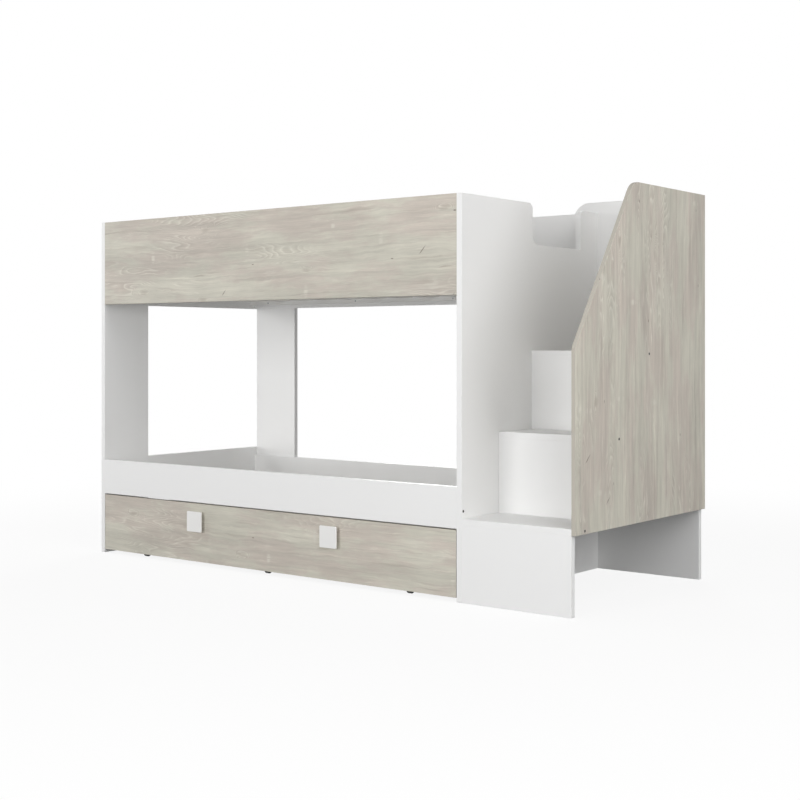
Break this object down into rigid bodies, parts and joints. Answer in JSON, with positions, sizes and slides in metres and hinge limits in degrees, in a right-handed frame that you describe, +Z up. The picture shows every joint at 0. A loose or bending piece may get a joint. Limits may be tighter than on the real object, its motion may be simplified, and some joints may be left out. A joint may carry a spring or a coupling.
{
  "type": "bunk bed",
  "caption": "Bunk bed of white and pale pine-decor boards with slatted bases, a pull-out trundle on casters and an enclosed staircase at one end.",
  "frame": {"origin": "on the floor under the middle of the whole bed, knobs included", "axes": "+X from the open end to the stairs, +Y from the front to the back, +Z up"},
  "size_m": [2.42, 1.006, 1.5],
  "materials": {
    "white_melamine": "matt white melamine",
    "pine_decor": "pale washed pine decor",
    "slat_wood": "white-stained softwood",
    "knob_white": "satin white",
    "zinc_steel": "zinc plated",
    "black_steel": "black",
    "black_plastic": "black"
  },
  "bodies": {
    "bed": {"cam_bolts": "zinc_steel", "cam_locks": "zinc_steel", "confirmat_screws": "black_steel", "dowels": "slat_wood", "left_front_upright": "white_melamine", "left_lower_end_rail": "white_melamine", "left_upper_end_panel": "white_melamine", "lower_front_cleat": "slat_wood", "lower_front_rail": "white_melamine", "lower_rear_cleat": "slat_wood", "lower_rear_rail": "white_melamine", "lower_slats": "slat_wood", "rear_left_post": "white_melamine", "stair_partition_panel": "white_melamine", "stair_rear_panel": "white_melamine", "stair_riser_1": "white_melamine", "stair_riser_2": "white_melamine", "stair_riser_3": "white_melamine", "stair_side_panel": "pine_decor", "stair_tread_1": "white_melamine", "stair_tread_2": "white_melamine", "stair_tread_3": "white_melamine", "upper_front_cleat": "slat_wood", "upper_front_guard": "pine_decor", "upper_rear_cleat": "slat_wood", "upper_rear_guard": "white_melamine", "upper_slats": "slat_wood", "wood_screws": "zinc_steel"},
    "trundle": {"caster_axles": "zinc_steel", "caster_screws": "zinc_steel", "front_left_caster_fork": "black_steel", "front_middle_caster_fork": "black_steel", "front_right_caster_fork": "black_steel", "knob_screws": "zinc_steel", "left_knob": "knob_white", "rear_left_caster_fork": "black_steel", "rear_middle_caster_fork": "black_steel", "rear_right_caster_fork": "black_steel", "right_knob": "knob_white", "trundle_back": "white_melamine", "trundle_cam_bolts": "zinc_steel", "trundle_cam_locks": "zinc_steel", "trundle_centre_rail": "slat_wood", "trundle_confirmats": "zinc_steel", "trundle_front": "pine_decor", "trundle_front_bearer": "slat_wood", "trundle_left_side": "white_melamine", "trundle_rear_bearer": "slat_wood", "trundle_right_side": "white_melamine", "trundle_slat_screws": "zinc_steel", "trundle_slats": "slat_wood"},
    "front_left_wheel": {"front_left_caster_wheel": "black_plastic"},
    "front_middle_wheel": {"front_middle_caster_wheel": "black_plastic"},
    "front_right_wheel": {"front_right_caster_wheel": "black_plastic"},
    "rear_left_wheel": {"rear_left_caster_wheel": "black_plastic"},
    "rear_middle_wheel": {"rear_middle_caster_wheel": "black_plastic"},
    "rear_right_wheel": {"rear_right_caster_wheel": "black_plastic"}
  },
  "joints": [
    {"name": "trundle_slide", "type": "slide", "parent": "bed", "child": "trundle", "axis": [0, -1, 0], "range_m": [0, 0.9]},
    {"name": "front_left_wheel_spin", "type": "hinge", "parent": "trundle", "child": "front_left_wheel", "pos_m": [-0.952, -0.442, 0.015], "axis": [1, 0, 0], "continuous": true},
    {"name": "front_middle_wheel_spin", "type": "hinge", "parent": "trundle", "child": "front_middle_wheel", "pos_m": [-0.233, -0.442, 0.015], "axis": [1, 0, 0], "continuous": true},
    {"name": "front_right_wheel_spin", "type": "hinge", "parent": "trundle", "child": "front_right_wheel", "pos_m": [0.486, -0.442, 0.015], "axis": [1, 0, 0], "continuous": true},
    {"name": "rear_left_wheel_spin", "type": "hinge", "parent": "trundle", "child": "rear_left_wheel", "pos_m": [-0.952, 0.4477, 0.015], "axis": [1, 0, 0], "continuous": true},
    {"name": "rear_middle_wheel_spin", "type": "hinge", "parent": "trundle", "child": "rear_middle_wheel", "pos_m": [-0.233, 0.4477, 0.015], "axis": [1, 0, 0], "continuous": true},
    {"name": "rear_right_wheel_spin", "type": "hinge", "parent": "trundle", "child": "rear_right_wheel", "pos_m": [0.486, 0.4477, 0.015], "axis": [1, 0, 0], "continuous": true}
  ],
  "couplings": [
    {"joint": "front_left_wheel_spin", "follows": "trundle_slide", "rad_per_m": 66.667},
    {"joint": "front_middle_wheel_spin", "follows": "trundle_slide", "rad_per_m": 66.667},
    {"joint": "front_right_wheel_spin", "follows": "trundle_slide", "rad_per_m": 66.667},
    {"joint": "rear_left_wheel_spin", "follows": "trundle_slide", "rad_per_m": 66.667},
    {"joint": "rear_middle_wheel_spin", "follows": "trundle_slide", "rad_per_m": 66.667},
    {"joint": "rear_right_wheel_spin", "follows": "trundle_slide", "rad_per_m": 66.667}
  ]
}
